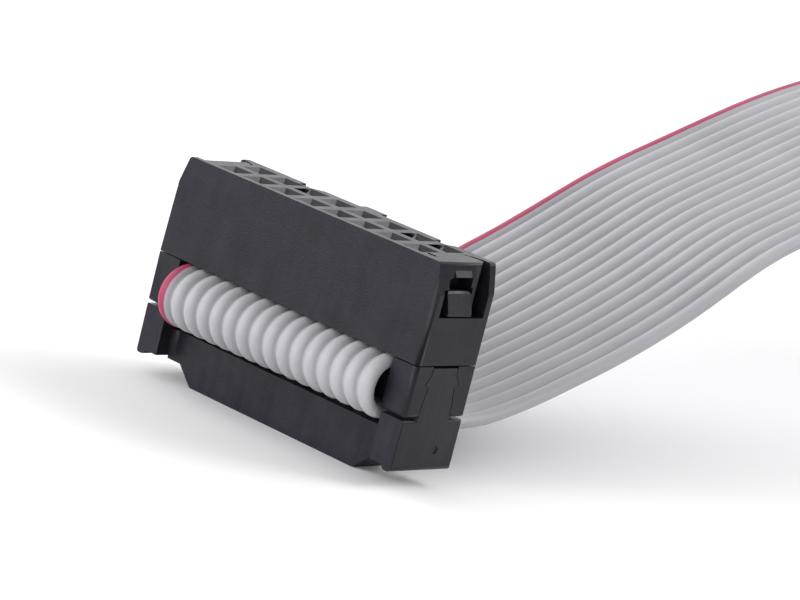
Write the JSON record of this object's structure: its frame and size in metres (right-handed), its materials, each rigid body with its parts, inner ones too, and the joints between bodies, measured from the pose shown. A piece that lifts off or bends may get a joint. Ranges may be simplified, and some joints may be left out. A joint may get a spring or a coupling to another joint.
{
  "type": "ribbon cable",
  "caption": "Flat grey ribbon cable with one red edge, folded into a black keyed socket connector with a clip-on strain relief at each end.",
  "frame": {"origin": "centre of the foot face under the near connector's strain relief", "axes": "+X along the contact rows, +Y the way the ribbon leaves the near connector, +Z the mating direction"},
  "size_m": [0.025, 0.175, 0.0277],
  "materials": {
    "housing": "fine matte black moulding",
    "cover": "fine matte black moulding",
    "clip": "fine matte black moulding",
    "contact": "gold-plated phosphor bronze strip",
    "insulation": "satin grey flexible vinyl, first conductor red"
  },
  "bodies": {
    "root": {"socket_body": "housing", "cover": "cover", "strain_relief": "clip", "contact_01": "contact", "contact_02": "contact", "contact_03": "contact", "contact_04": "contact", "contact_05": "contact", "contact_06": "contact", "contact_07": "contact", "contact_08": "contact", "contact_09": "contact", "contact_10": "contact", "contact_11": "contact", "contact_12": "contact", "contact_13": "contact", "contact_14": "contact", "contact_15": "contact", "contact_16": "contact", "ribbon": "insulation", "far_socket_body": "housing", "far_cover": "cover", "far_strain_relief": "clip", "far_contact_01": "contact", "far_contact_02": "contact", "far_contact_03": "contact", "far_contact_04": "contact", "far_contact_05": "contact", "far_contact_06": "contact", "far_contact_07": "contact", "far_contact_08": "contact", "far_contact_09": "contact", "far_contact_10": "contact", "far_contact_11": "contact", "far_contact_12": "contact", "far_contact_13": "contact", "far_contact_14": "contact", "far_contact_15": "contact", "far_contact_16": "contact"}
  },
  "joints": []
}
